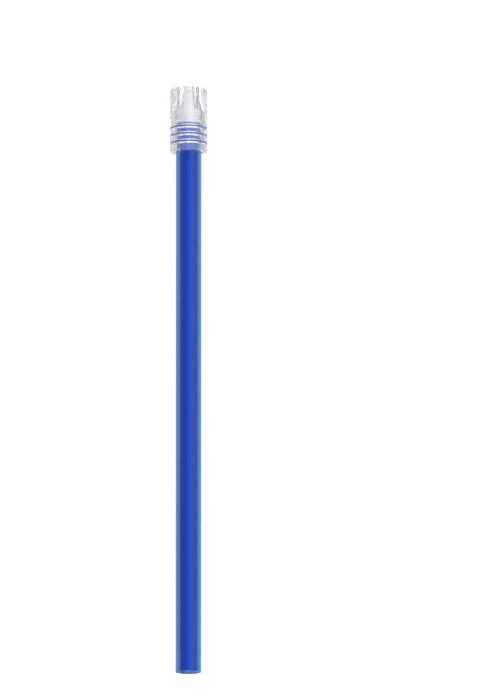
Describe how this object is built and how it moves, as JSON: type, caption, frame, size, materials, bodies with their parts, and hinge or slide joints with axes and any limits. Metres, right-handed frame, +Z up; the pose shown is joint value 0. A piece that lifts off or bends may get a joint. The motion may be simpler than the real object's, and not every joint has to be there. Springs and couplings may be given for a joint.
{
  "type": "saliva ejector",
  "caption": "Slim bendable suction tube with a shaping wire in its wall and a clear, slotted, rounded tip pressed on one end.",
  "frame": {"origin": "on the surface that the part lies on, at the middle of its length and width", "axes": "+Y runs along the part towards the slotted tip, +Z is up, with the wire side of the tube on top"},
  "size_m": [0.0094, 0.15, 0.0097],
  "materials": {
    "tube": "translucent blue extruded vinyl, glossy",
    "wire": "soft drawn aluminium wire with a thin bright blue coat",
    "tip": "clear moulded vinyl, polished"
  },
  "bodies": {
    "root": {"tube": "tube", "shaping_wire": "wire", "tip": "tip"}
  },
  "joints": []
}
